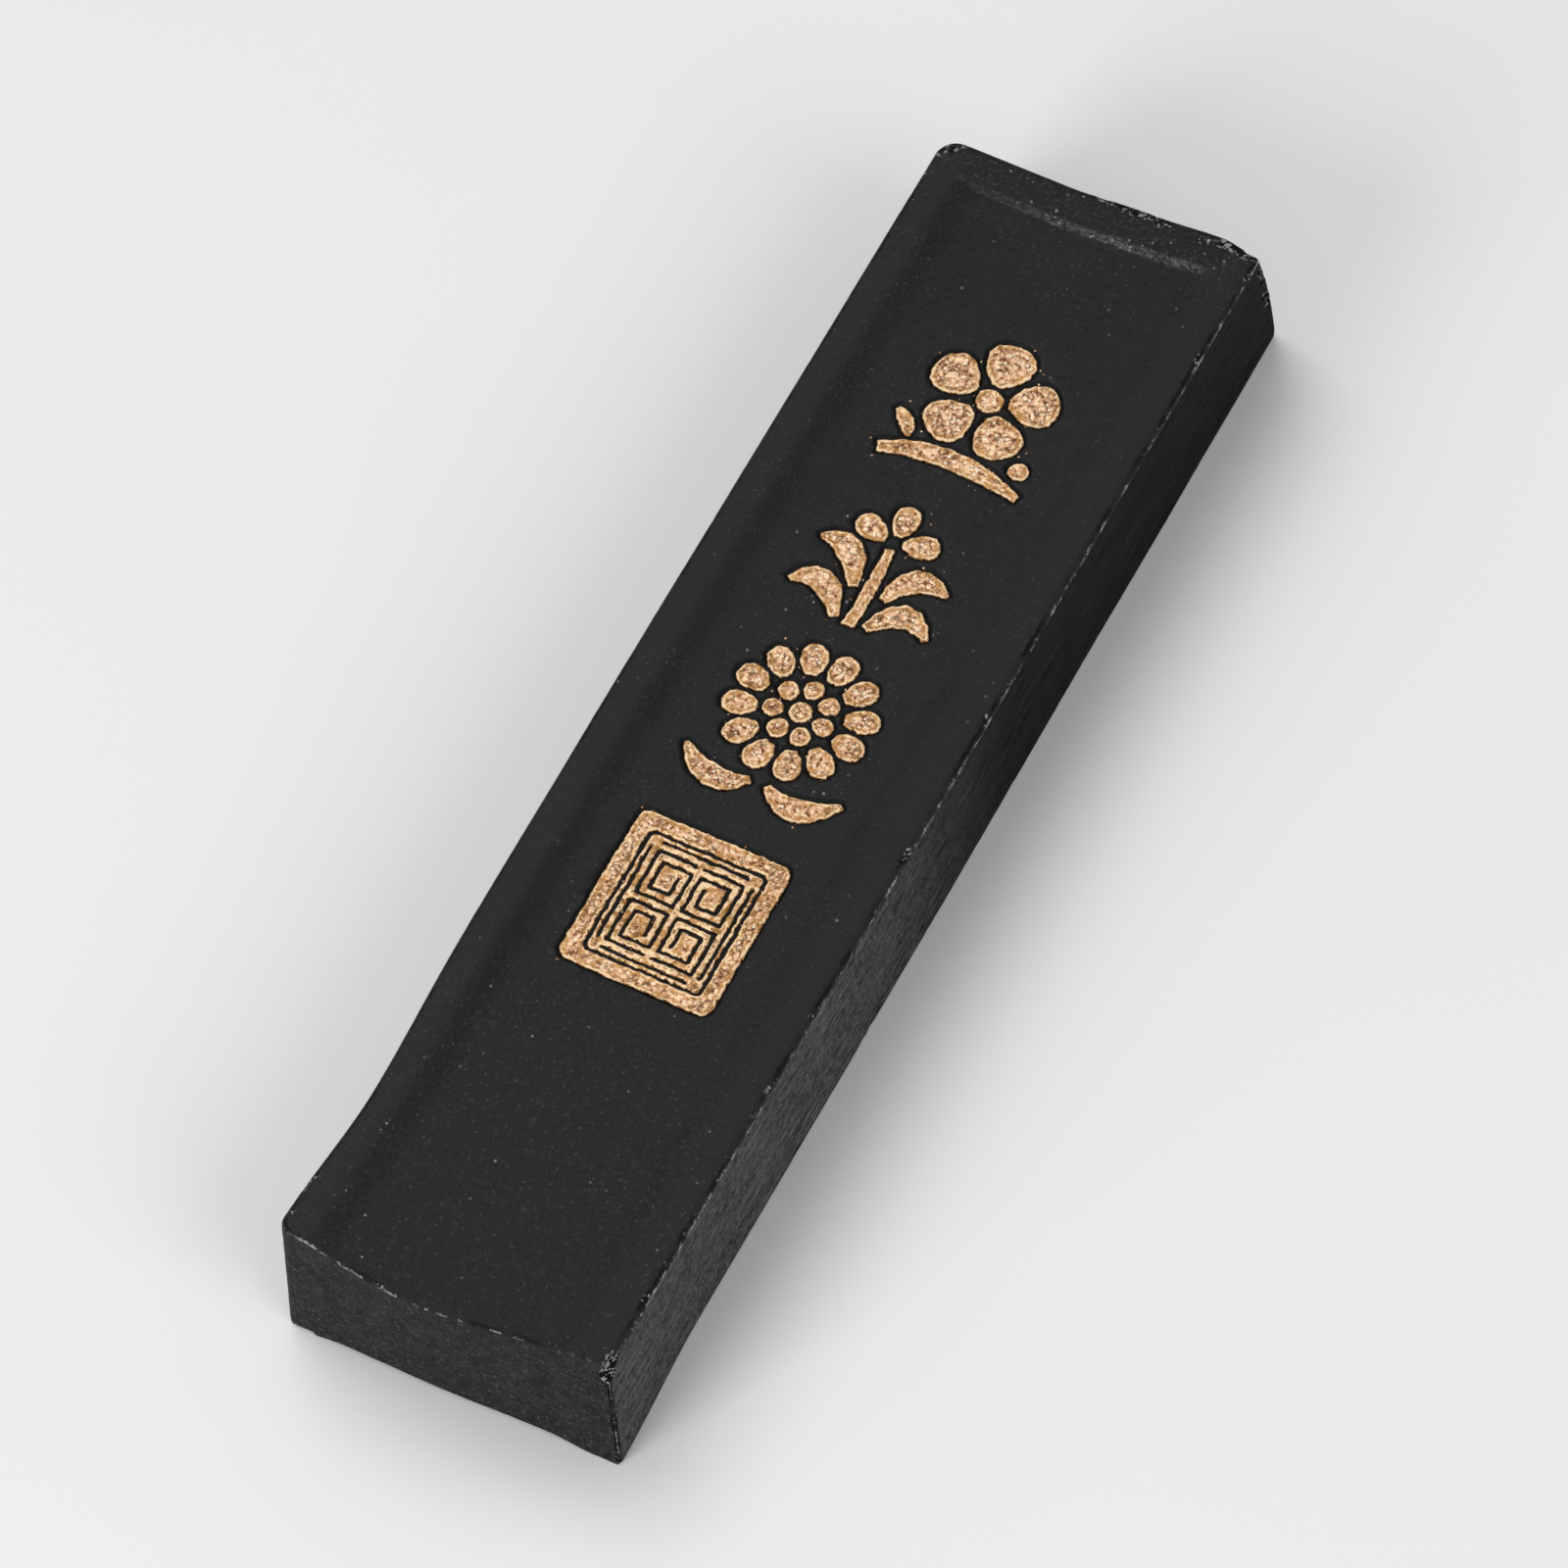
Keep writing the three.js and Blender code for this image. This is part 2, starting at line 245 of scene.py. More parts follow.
def paint_film(patch):
    """The paint patch that stands for a CAD patch: its outline wanders and its top is grainy."""
    piece = link(patch.replace("_gilt", "_paint"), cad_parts[patch].data.copy())
    piece.data.transform(Matrix.Scale(1 / MM, 4))
    remesh = piece.modifiers.new("Remesh", "REMESH")
    remesh.mode = "VOXEL"
    remesh.voxel_size = PAINT_VOXEL
    smooth = piece.modifiers.new("Smooth", "SMOOTH")
    smooth.factor = 0.5
    smooth.iterations = 2 if patch.startswith("seal") else 4
    graph = bpy.context.evaluated_depsgraph_get()
    mesh = bpy.data.meshes.new_from_object(piece.evaluated_get(graph))
    piece.modifiers.clear()
    piece.data = mesh

    points = positions(mesh)
    inside = outline_distance(points, *outline_segments(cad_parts[patch].data))
    top = rise(points[:, 2], RECESS_FLOOR + 0.05, gilt_high[2] - 0.02)
    flat = points * (1, 1, 0)
    lip = 0.035 * np.exp(-((inside - 0.11) / 0.06) ** 2)
    grain = 0.018 * layered_noise(flat, 0.26, 31, 2) * rise(inside, 0.05, 0.3)
    swell = 0.02 * noise(flat, 0.8, 35)
    points[:, 2] += top * (lip + grain + swell)
    points += paint_warp(points)
    set_positions(mesh, points)
    store(mesh, "inside", inside)
    shade_smooth(mesh)
    mesh.transform(Matrix.Scale(MM, 4))
    mesh.materials.clear()
    mesh.materials.append(gilt_material)
    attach(piece, "root")
    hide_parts(patch)


# ---- the bar's mesh: two grids and a wall, over a plain box ----

def lines(*stretches):
    """Grid lines along one axis, from stretches of (start, end, spacing)."""
    found = [np.array([stretches[0][0]])]
    for start, end, spacing in stretches:
        count = max(1, math.ceil((end - start) / spacing))
        found.append(np.linspace(start, end, count + 1)[1:])
    return np.concatenate(found)


def edge_insets(radius, steps, *stretches):
    """Insets from an edge: equal angles round its radius, then the stretches, each (end, spacing)."""
    rounded = radius * (1 - np.cos(np.linspace(0, math.pi / 2, steps + 1)))
    starts = [radius] + [end for end, _ in stretches]
    flat = lines(*((start, end, spacing) for start, (end, spacing) in zip(starts, stretches)))
    return np.concatenate([rounded[:-1], flat])


def face_lines(half, first_edge, last_edge, low, high, spacing):
    """Lines across a broad face from -half to half: the insets of its two edges, and between them
    lines of the given spacing from low to high."""
    middle = lines((first_edge[-1] - half, low, COARSE), (low, high, spacing),
                   (high, half - last_edge[-1], COARSE))
    return np.concatenate([first_edge - half, middle[1:-1], (half - last_edge)[::-1]])


def wall_lines(half, spacing):
    """Lines along a wall from -half to half: of the given spacing, and closer near both ends."""
    reach = half - UPRIGHT_REACH
    return lines((-half, -reach, MEDIUM), (-reach, reach, spacing), (reach, half, MEDIUM))


def grid_faces(columns, rows, first, upward):
    """Quads of a grid whose vertices start at `first` and run along x first."""
    corner = first + np.arange(columns - 1)[None, :] + columns * np.arange(rows - 1)[:, None]
    quads = np.stack([corner, corner + 1, corner + 1 + columns, corner + columns], -1).reshape(-1, 4)
    return quads if upward else quads[:, ::-1]


def grid_loop(columns, rows, first):
    """The outer vertices of a grid, anticlockwise from above, from its lowest corner."""
    index = first + np.arange(columns * rows).reshape(rows, columns)
    return np.concatenate([index[0, :-1], index[:-1, -1], index[-1, :0:-1], index[:0:-1, 0]])


def wall_loop(xs, ys):
    """The (x, y) places round the box, anticlockwise from its lowest corner."""
    return np.concatenate([
        np.stack([xs[:-1], np.full(len(xs) - 1, ys[0])], -1),
        np.stack([np.full(len(ys) - 1, xs[-1]), ys[:-1]], -1),
        np.stack([xs[:0:-1], np.full(len(xs) - 1, ys[-1])], -1),
        np.stack([np.full(len(ys) - 1, xs[0]), ys[:0:-1]], -1),
    ])


def along(loop):
    """How far round the box each place of a loop is."""
    x, y = loop[:, 0] + HALF_WIDTH, loop[:, 1] + HALF_LENGTH
    south, east, north = np.isclose(y, 0), np.isclose(x, WIDTH), np.isclose(y, LENGTH)
    return np.select(
        [south, east, north],
        [x, WIDTH + y, WIDTH + LENGTH + WIDTH - x],
        2 * WIDTH + LENGTH + LENGTH - y,
    )


def zip_loops(upper, upper_at, lower, lower_at):
    """Triangles between two loops that go round together with different steps."""
    whole = 2 * (WIDTH + LENGTH)
    upper, upper_at = list(upper) + [upper[0]], list(upper_at) + [whole]
    lower, lower_at = list(lower) + [lower[0]], list(lower_at) + [whole]
    triangles = []
    i = j = 0
    while i < len(upper) - 1 or j < len(lower) - 1:
        upper_next = i < len(upper) - 1 and (j == len(lower) - 1 or upper_at[i + 1] <= lower_at[j + 1])
        if upper_next:
            triangles.append((upper[i], lower[j], upper[i + 1]))
            i += 1
        else:
            triangles.append((upper[i], lower[j], lower[j + 1]))
            j += 1
    return triangles


def wall_faces(count, rows, first):
    """Quads of a closed wall whose rows run anticlockwise, highest row first."""
    here = np.arange(count)
    after = (here + 1) % count
    quads = [np.stack([first + row * count + here, first + (row + 1) * count + here,
                       first + (row + 1) * count + after, first + row * count + after], -1)
             for row in range(rows - 1)]
    return np.concatenate(quads)


def box_mesh():
    """The bar's mesh as a plain box: points, faces, and the ranges that are top and underside."""
    moulded = edge_insets(EDGE_RADIUS, 4, *MOULDED_LINES)
    ground = edge_insets(GROUND_EDGE_RADIUS, 3, *GROUND_LINES)
    far_step = edge_insets(EDGE_RADIUS, 4, *FAR_STEP_LINES)
    low, high = gilt_low - PAINT_MARGIN, gilt_high + PAINT_MARGIN
    top_x = face_lines(HALF_WIDTH, moulded, moulded, low[0], high[0], FINE)
    top_y = face_lines(HALF_LENGTH, ground, far_step, low[1], high[1], FINE)
    under_x = face_lines(HALF_WIDTH, moulded, moulded, -1, 1, UNDER_SPACING)
    under_y = face_lines(HALF_LENGTH, ground, moulded, -1, 1, UNDER_SPACING)
    side_x = wall_lines(HALF_WIDTH, END_SPACING)
    side_y = wall_lines(HALF_LENGTH, SIDE_SPACING)
    inset = EDGE_RADIUS + SEAM
    rows = lines((inset, FINE_BELOW, MEDIUM), (FINE_BELOW, FINE_ABOVE, ROW_SPACING),
                 (FINE_ABOVE, THICKNESS - inset, MEDIUM))[::-1]

    top = np.array([(x, y, THICKNESS) for y in top_y for x in top_x])
    loop = wall_loop(side_x, side_y)
    wall = np.array([(x, y, z) for z in rows for x, y in loop])
    under = np.array([(x, y, 0.0) for y in under_y for x in under_x])
    wall_first, under_first = len(top), len(top) + len(wall)
    points = np.concatenate([top, wall, under])

    top_loop = grid_loop(len(top_x), len(top_y), 0)
    under_loop = grid_loop(len(under_x), len(under_y), under_first)
    wall_high = wall_first + np.arange(len(loop))
    wall_low = wall_high + (len(rows) - 1) * len(loop)
    faces = [
        *grid_faces(len(top_x), len(top_y), 0, True).tolist(),
        *zip_loops(top_loop, along(points[top_loop]), wall_high, along(loop)),
        *wall_faces(len(loop), len(rows), wall_first).tolist(),
        *zip_loops(wall_low, along(loop), under_loop, along(points[under_loop])),
        *grid_faces(len(under_x), len(under_y), under_first, False).tolist(),
    ]
    return points, faces, slice(0, wall_first), slice(under_first, len(points))


# ---- the bar's form ----

def round_corners(points):
    """Turns the box's square plan corners into arcs, carrying the grid lines along."""
    x, y = points[:, 0], points[:, 1]
    radius = np.array(CORNER_RADII)[(x > 0) + 2 * (y > 0)]
    dx = np.abs(x) - (HALF_WIDTH - radius)
    dy = np.abs(y) - (HALF_LENGTH - radius)
    in_corner = (dx > 0) & (dy > 0)
    scale = np.where(in_corner, np.maximum(dx, dy) / np.hypot(dx, dy).clip(1e-9), 1)
    rounded = points.copy()
    rounded[:, 0] = np.where(in_corner, np.sign(x) * (HALF_WIDTH - radius + dx * scale), x)
    rounded[:, 1] = np.where(in_corner, np.sign(y) * (HALF_LENGTH - radius + dy * scale), y)
    return rounded


def edge_drop(points):
    """How far a broad face has rounded off at each place, from its insets on the box."""
    x, y = points[:, 0], points[:, 1]
    moulded = np.minimum(HALF_WIDTH - np.abs(x), HALF_LENGTH - y)
    drops = []
    for radius, inset in ((EDGE_RADIUS, moulded), (GROUND_EDGE_RADIUS, HALF_LENGTH + y)):
        short = (radius - inset).clip(0)
        drops.append(radius - np.sqrt((radius ** 2 - short ** 2).clip(0)))
    return np.maximum(*drops)


def far_inset(points):
    """How far inside the far edge each place is, from an arc that bows as the panel's far step does."""
    x, y = points[:, 0], points[:, 1]
    return HALF_LENGTH - y - STEP_BOW * (1 - (x / HALF_WIDTH) ** 2)


def panel_share(points):
    """How fully each place of a broad face lies in the sunken panel. The step is crisp at the far end
    and soft along the sides. The near end has been ground back past it."""
    x = points[:, 0]
    return (rise(HALF_WIDTH + x, RIM_WIDTH - 0.5, RIM_WIDTH + 1.4)
            * rise(HALF_WIDTH - x, RIM_WIDTH - 0.3, RIM_WIDTH + 2.0)
            * rise(far_inset(points), RIM_WIDTH - 0.2, RIM_WIDTH + 0.25))


def rim_crown(points):
    """How far the rim falls away towards the long edges."""
    inset = HALF_WIDTH - np.abs(points[:, 0])
    return RIM_CROWN * (1 - inset / RIM_WIDTH).clip(0) ** 2


def paint_tree():
    """A search tree of the gilt nodes' top faces, laid flat in millimetres."""
    corners, faces = [], []
    for name in GILT_NODES:
        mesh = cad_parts[name].data
        first = len(corners)
        corners += [Vector((v.co.x, v.co.y, 0)) / MM for v in mesh.vertices]
        faces += [[first + i for i in p.vertices] for p in mesh.polygons if p.normal.z > 0.9]
    return BVHTree.FromPolygons(corners, faces)


def paint_distance(points):
    """How far each place is from the nearest paint, seen from above; 0 under the paint."""
    tree = paint_tree()
    flat = (points - paint_warp(points)) * (1, 1, 0)
    return np.array([tree.find_nearest(Vector(p))[3] for p in flat])


def lean_far_end(points):
    """Draws the far end in, more the higher a place is, so that it leans out to the underside."""
    y, z = points[:, 1], points[:, 2]
    points[:, 1] -= FAR_LEAN * (z / THICKNESS) ** 1.6 * rise(y, HALF_LENGTH - 10, HALF_LENGTH - 4)


def wear_ends(points):
    """Bows and spreads the ground end, draws in the left side beside it, and lets the far end bulge,
    most at its right corner."""
    x, y, z = points.T
    height = z / THICKNESS
    near = rise(-y, HALF_LENGTH - 3, HALF_LENGTH)
    bow = NEAR_BOW * np.exp(-((x + 1.5) / 5.4) ** 2) - NEAR_SETBACK * rise(x, 6, HALF_WIDTH)
    far = rise(y, HALF_LENGTH - 7, HALF_LENGTH - 3)
    bulge = FAR_BULGE * rise(x, -2, 3) * rise(-x, 0.2 - HALF_WIDTH, 2.5 - HALF_WIDTH)
    foot = rise(-y, HALF_LENGTH - 10, HALF_LENGTH)
    spread = FOOT_SPREAD * (1 - height) + LEFT_SPREAD * (x < 0)
    waist = WAIST * np.exp(-((y + HALF_LENGTH - 10) / 7.5) ** 2)
    points[:, 1] += far * (height * bulge + FAR_BULGE * rise(x, 3, 8))
    points[:, 1] -= near * (height * bow + NEAR_FOOT * (1 - height) * rise(-x, -6, 2))
    points[:, 0] += foot * spread * x / HALF_WIDTH + waist * (-x / HALF_WIDTH).clip(0)


def uneven(points, outward, on_wall):
    """How far the pressed and scraped surface stands off its true form, along its normal."""
    swell = 0.05 * noise(points, 16, 41) + 0.015 * noise(points, 4.5, 42)
    grain = 0.004 * layered_noise(points, 0.5, 43)
    scrape = (0.022 * noise(points, (40, 14, 0.75), 51) + 0.016 * noise(points, (30, 6, 0.46), 52)
              + 0.018 * layered_noise(points, (3.0, 3.0, 3.0), 53))
    lengthwise = outward[:, 0] ** 2 * on_wall
    endwise = outward[:, 1] ** 2 * on_wall
    mottle = 0.022 * layered_noise(points, 1.4, 61)
    return swell + grain + lengthwise * scrape + endwise * mottle


def nicks(start, end, outward, count, size, seed):
    """Ball-shaped chips in clusters along an edge: rows of (x, y, z, radius)."""
    random = np.random.default_rng(seed)
    start, end, outward = (np.array(v, float) for v in (start, end, outward))
    outward /= np.linalg.norm(outward)
    centres = random.random(max(1, count // 4))
    at = random.choice(centres, count) + random.normal(0, 0.7, count) / np.linalg.norm(end - start)
    place = start + at.clip(0, 1)[:, None] * (end - start) + random.normal(0, 0.08, (count, 3))
    radius = size * random.lognormal(0, 0.35, (count, 1))
    depth = 0.22 * size * random.random((count, 1)) ** 1.5
    return np.hstack([place + outward * (radius - depth), radius])


def all_nicks():
    """Every chip of the bar. The edge's crest lies a little inside the box."""
    crest = EDGE_RADIUS * (1 - math.sqrt(0.5))
    x, foot, z, low = HALF_WIDTH - crest, HALF_LENGTH - crest, THICKNESS - crest, crest
    y = foot - FAR_LEAN
    near, side = HALF_LENGTH + 0.1, HALF_WIDTH - 0.05
    return np.vstack([
        nicks((-x, -near, z), (0, -near - 0.7, z), (0, -1, 1), 46, 0.36, 70),
        nicks((0, -near - 0.7, z), (x, 0.2 - near, z), (0, -1, 1), 24, 0.34, 71),
        nicks((x, -near, z), (x, y, z), (1, 0, 1), 64, 0.42, 72),
        nicks((-x, -near, z), (-x, y, z), (-1, 0, 1), 40, 0.4, 73),
        nicks((-x, y, z), (x, y, z), (0, 1, 1), 24, 0.4, 74),
        nicks((side, -near, 0.6), (side, -near, z), (1, -1, 0), 44, 0.4, 75),
        nicks((-side, -near, 0.6), (-side, -near, z), (-1, -1, 0), 8, 0.34, 76),
        nicks((side, foot, 0.6), (side, y, z), (1, 1, 0), 8, 0.34, 77),
        nicks((x, -near, low), (x, foot, low), (1, 0, -1), 40, 0.4, 78),
        nicks((-x, -near, low), (-x, foot, low), (-1, 0, -1), 40, 0.4, 79),
        nicks((-x, -near, low), (x, -near, low), (0, -1, -1), 20, 0.36, 80),
        nicks((-x, foot, low), (x, foot, low), (0, 1, -1), 16, 0.36, 81),
        # The near right top corner is crumbled, and the far right one is chipped.
        nicks((x - 1.8, -near, z), (x, -near, z), (0.6, -1, 1), 26, 0.62, 82),
        nicks((x, -near, z - 2.2), (x, 1.6 - near, z), (1, -0.6, 0.8), 26, 0.62, 83),
        nicks((x - 2.6, y + 0.3, z), (x, y + 0.2, z), (0.5, 0.8, 1), 22, 0.55, 84),
        nicks((x, y + 0.2, z), (x, y - 1.6, z), (1, 0.3, 1), 12, 0.5, 88),
        nicks((-x, y - 1.4, z), (1.4 - x, y, z), (-1, 1, 1), 14, 0.4, 89),
        # Three dents in the right top edge.
        nicks((x, 18.5, z), (x, 19.3, z), (1, 0, 1), 3, 0.75, 85),
        nicks((x, 15.6, z), (x, 16.1, z), (1, 0, 1), 2, 0.7, 86),
        nicks((x, 6.6, z), (x, 7.4, z), (1, 0, 1), 3, 0.8, 87),
    ])


def chip(points):
    """Pushes the surface out of every chip's ball, and says how deep each place was cut."""
    cut = np.zeros(len(points))
    for x, y, z, radius in all_nicks():
        offset = points - (x, y, z)
        reach = np.linalg.norm(offset, axis=1)
        near = np.flatnonzero(reach < radius * (1 + CHIP_RAGGEDNESS))
        if not len(near):
            continue
        ragged = radius * (1 + CHIP_RAGGEDNESS * noise(points[near], 0.22, 91))
        push = (ragged - reach[near]).clip(0)
        points[near] += offset[near] / reach[near, None].clip(1e-6) * push[:, None]
        cut[near] = np.maximum(cut[near], push)
    return cut


def edge_distance(points):
    """How far each place of the plain box is from its nearest sharp edge. Of the upright edges only
    the near right one is sharp."""
    side, end = HALF_WIDTH - np.abs(points[:, 0]), HALF_LENGTH - np.abs(points[:, 1])
    face = THICKNESS / 2 - np.abs(points[:, 2] - THICKNESS / 2)
    sharp = (points[:, 0] > 0) & (points[:, 1] < 0)
    upright = np.where(sharp, np.maximum(side, end), FAR_AWAY)
    return np.minimum(np.maximum(np.minimum(side, end), face), upright)


def far_crease(points):
    """1 on the panel's far step, falling to 0 either side of it and towards both long rims."""
    inset = far_inset(points)
    from_left, from_right = HALF_WIDTH + points[:, 0], HALF_WIDTH - points[:, 0]
    return (rise(inset, RIM_WIDTH - 0.3, RIM_WIDTH - 0.1)
            * rise(-inset, -RIM_WIDTH - 0.35, -RIM_WIDTH - 0.1)
            * rise(from_left, RIM_WIDTH - 0.5, HALF_WIDTH)
            * rise(from_right, RIM_WIDTH - 0.2, RIM_WIDTH + 1))


def press(points, box, top, under):
    """Rounds the broad faces' edges, sinks their panels and presses the recesses into the top. Says
    how far each place of the top is from the paint."""
    drop, share = edge_drop(box), panel_share(points)
    distance = paint_distance(points[top])
    panel = points[top, 2] - drop[top] - PANEL_DEPTH * share[top] - rim_crown(box[top])
    points[top, 2] = RECESS_FLOOR + (panel - RECESS_FLOOR) * rise(distance, 0, RECESS_WALL)
    points[under, 2] += drop[under] + PANEL_DEPTH * share[under]
    return distance


def ink_bar():
    """The bar. A plain box is pressed, leaned and worn into its form, made uneven and then chipped."""
    box, faces, top, under = box_mesh()
    points = round_corners(box)
    crease = np.zeros(len(points))
    crease[top] = far_crease(points[top])
    distance = np.full(len(points), FAR_AWAY)
    distance[top] = press(points, box, top, under)
    lean_far_end(points)
    wear_ends(points)

    mesh = bpy.data.meshes.new("ink_stick_bar")
    mesh.from_pydata(points.tolist(), [], faces)
    mesh.update()
    outward = normals(mesh)
    on_wall = np.ones(len(points))
    on_wall[top] = on_wall[under] = 0
    lift = uneven(points, outward, on_wall)
    lift[top] *= rise(distance[top], 0, EVEN_REACH)
    points += outward * lift[:, None]
    cut = chip(points)
    set_positions(mesh, points)

    store(mesh, "cut", np.clip(cut / CHIP_DEPTH, 0, 1))
    store(mesh, "edge_distance", edge_distance(box))
    store(mesh, "side", on_wall * rise(np.abs(outward[:, 0]), 0.4, 0.8))
    store(mesh, "end", on_wall * rise(np.abs(outward[:, 1]), 0.4, 0.8))
    store(mesh, "paint_distance", distance)
    store(mesh, "crease", crease)
    shade_smooth(mesh)
    mesh.transform(Matrix.Scale(MM, 4))
    mesh.materials.append(ink_material)
    bar = link("ink_stick_bar", mesh)
    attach(bar, "root")
    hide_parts("ink_bar")


# ---- shader nodes ----

def node(tree, kind, inputs=None, **settings):
    """A new shader node. An input is a plain value or another node's output."""
    made = tree.nodes.new("ShaderNode" + kind)
    for name, value in settings.items():
        setattr(made, name, value)
    for key, value in (inputs or {}).items():
        if isinstance(value, bpy.types.NodeSocket):
            tree.links.new(value, made.inputs[key])
        else:
            made.inputs[key].default_value = value
    return made


def maths(tree, operation, a, b=0.0):
    return node(tree, "Math", {0: a, 1: b}, operation=operation).outputs[0]


def times(tree, a, b):
    return maths(tree, "MULTIPLY", a, b)


def plus(tree, a, b):
    return maths(tree, "ADD", a, b)


def larger(tree, a, b):
    return maths(tree, "MAXIMUM", a, b)


def mix_colour(tree, share, a, b):
    return node(tree, "Mix", {0: share, 6: a, 7: b}, data_type="RGBA").outputs[2]


def mix_value(tree, share, a, b):
    return node(tree, "Mix", {0: share, 2: a, 3: b}).outputs[0]


def step(tree, value, start, end):
    """A smooth step from 0 at start to 1 at end; start may be the larger."""
    inputs = {"Value": value, "From Min": start, "From Max": end}
    return node(tree, "MapRange", inputs, interpolation_type="SMOOTHSTEP").outputs[0]


def stored(tree, name):
    """What store() kept under this name."""
    return node(tree, "Attribute", attribute_name=name).outputs["Fac"]


def millimetres(tree):
    """The object's own coordinates in millimetres."""
    place = node(tree, "TexCoord").outputs["Object"]
    return node(tree, "VectorMath", {0: place, 1: (1 / MM,) * 3}, operation="MULTIPLY").outputs[0]


def coordinate(tree, place, axis):
    return node(tree, "SeparateXYZ", {0: place}).outputs[axis]


def stretched(tree, place, x, y, z):
    """The place with each axis divided, which draws a pattern out along that axis."""
    return node(tree, "VectorMath", {0: place, 1: (x, y, z)}, operation="DIVIDE").outputs[0]


def clouds(tree, place, wavelength, detail, roughness, turn):
    """Noise about 0.5. Each turn is another pattern."""
    inputs = {
        "Vector": place, "W": turn, "Scale": 1 / wavelength, "Detail": detail, "Roughness": roughness,
    }
    return node(tree, "TexNoise", inputs, noise_dimensions="4D").outputs[0]


def bend(tree, place, wavelength, amount):
    """The place pushed up and down by slow noise, so that streaks drawn along it wander."""
    sway = maths(tree, "SUBTRACT", clouds(tree, place, wavelength, 2, 0.5, 20.0), 0.5)
    push = node(tree, "CombineXYZ", {2: times(tree, sway, amount)}).outputs[0]
    return node(tree, "VectorMath", {0: place, 1: push}, operation="ADD").outputs[0]


def specks(tree, place, spacing, size, share):
    """Round dots of a given size in mm, on a given share of scattered points."""
    cells = node(tree, "TexVoronoi", {"Vector": place, "Scale": 1 / spacing})
    dot = step(tree, cells.outputs["Distance"], size / spacing / 2, size / spacing / 4)
    pick = node(tree, "SeparateColor", {0: cells.outputs["Color"]}).outputs[0]
    return times(tree, dot, maths(tree, "LESS_THAN", pick, share))


def grey(level):
    return (level, level, level, 1)


def soot(level):
    """A grey that is a little cool."""
    return (level, level, level * SOOT_BLUE, 1)


def new_material(name):
    material = bpy.data.materials.new(name)
    material.use_nodes = True
    tree = material.node_tree
    tree.nodes.clear()
    surface = node(tree, "BsdfPrincipled")
    output = node(tree, "OutputMaterial")
    tree.links.new(surface.outputs[0], output.inputs["Surface"])
    return material, tree, surface


def finish_material(tree, surface, colour, roughness, height):
    """Joins a colour, a roughness and a relief height in mm to the surface."""
    bump = node(tree, "Bump", {"Height": height, "Strength": 1.0, "Distance": MM})
    for name, value in (("Base Color", colour), ("Roughness", roughness), ("Normal", bump.outputs[0])):
        tree.links.new(value, surface.inputs[name])


# ---- the gold paint's material ----

def gold_grains(tree, place, middle):
    """Gold paint up close, as grains of three tones, and the noise they follow. The middle of a patch
    is paler and pinker."""
    flake = clouds(tree, place, 0.27, 2, 0.65, 1.0)
    flake = plus(tree, flake, times(tree, middle, 0.02))
    tint = clouds(tree, place, 0.9, 2, 0.5, 1.5)
    gold = mix_colour(tree, larger(tree, middle, step(tree, tint, 0.45, 0.6)), GOLD, PINK_GOLD)
    colour = mix_colour(tree, step(tree, flake, 0.40, 0.45), DARK_GOLD, gold)
    return mix_colour(tree, step(tree, flake, 0.53, 0.57), colour, LIGHT_GOLD), flake


def dark_gaps(tree, place):
    """Thin dark lines between the grains, in patches."""
    push = node(tree, "TexNoise", {"Vector": place, "Scale": 1 / 0.3, "Detail": 1.0}).outputs["Color"]
    bent = node(tree, "VectorMath", {0: push, 1: (0.3, 0.3, 0.3), 2: place}, operation="MULTIPLY_ADD")
    inputs = {"Vector": bent.outputs[0], "Scale": 1 / 0.42}
    cells = node(tree, "TexVoronoi", inputs, feature="DISTANCE_TO_EDGE")
    patch = step(tree, clouds(tree, place, 1.1, 2, 0.6, 2.5), 0.42, 0.54)
    return times(tree, step(tree, cells.outputs["Distance"], 0.13, 0.05), patch)


def gilt_rim(tree, place, inside, colour):
    """The rim of a patch: a broken lip painted bright as a highlight, and brown in places outside
    it, towards the patch's edge.
    """
    wobble = clouds(tree, place, 0.3, 2, 0.7, 3.0)
    ragged = plus(tree, inside, times(tree, wobble, 0.6))
    lip = times(tree, step(tree, ragged, 0.31, 0.37), step(tree, ragged, 0.50, 0.43))
    broken = step(tree, clouds(tree, place, 0.6, 2, 0.6, 4.0), 0.40, 0.50)
    # Painted highlight: the broken lip is lifted to light gold.
    colour = mix_colour(tree, times(tree, lip, broken), colour, LIGHT_GOLD)
    return mix_colour(tree, step(tree, ragged, 0.31, 0.25), colour, BROWN_GOLD)


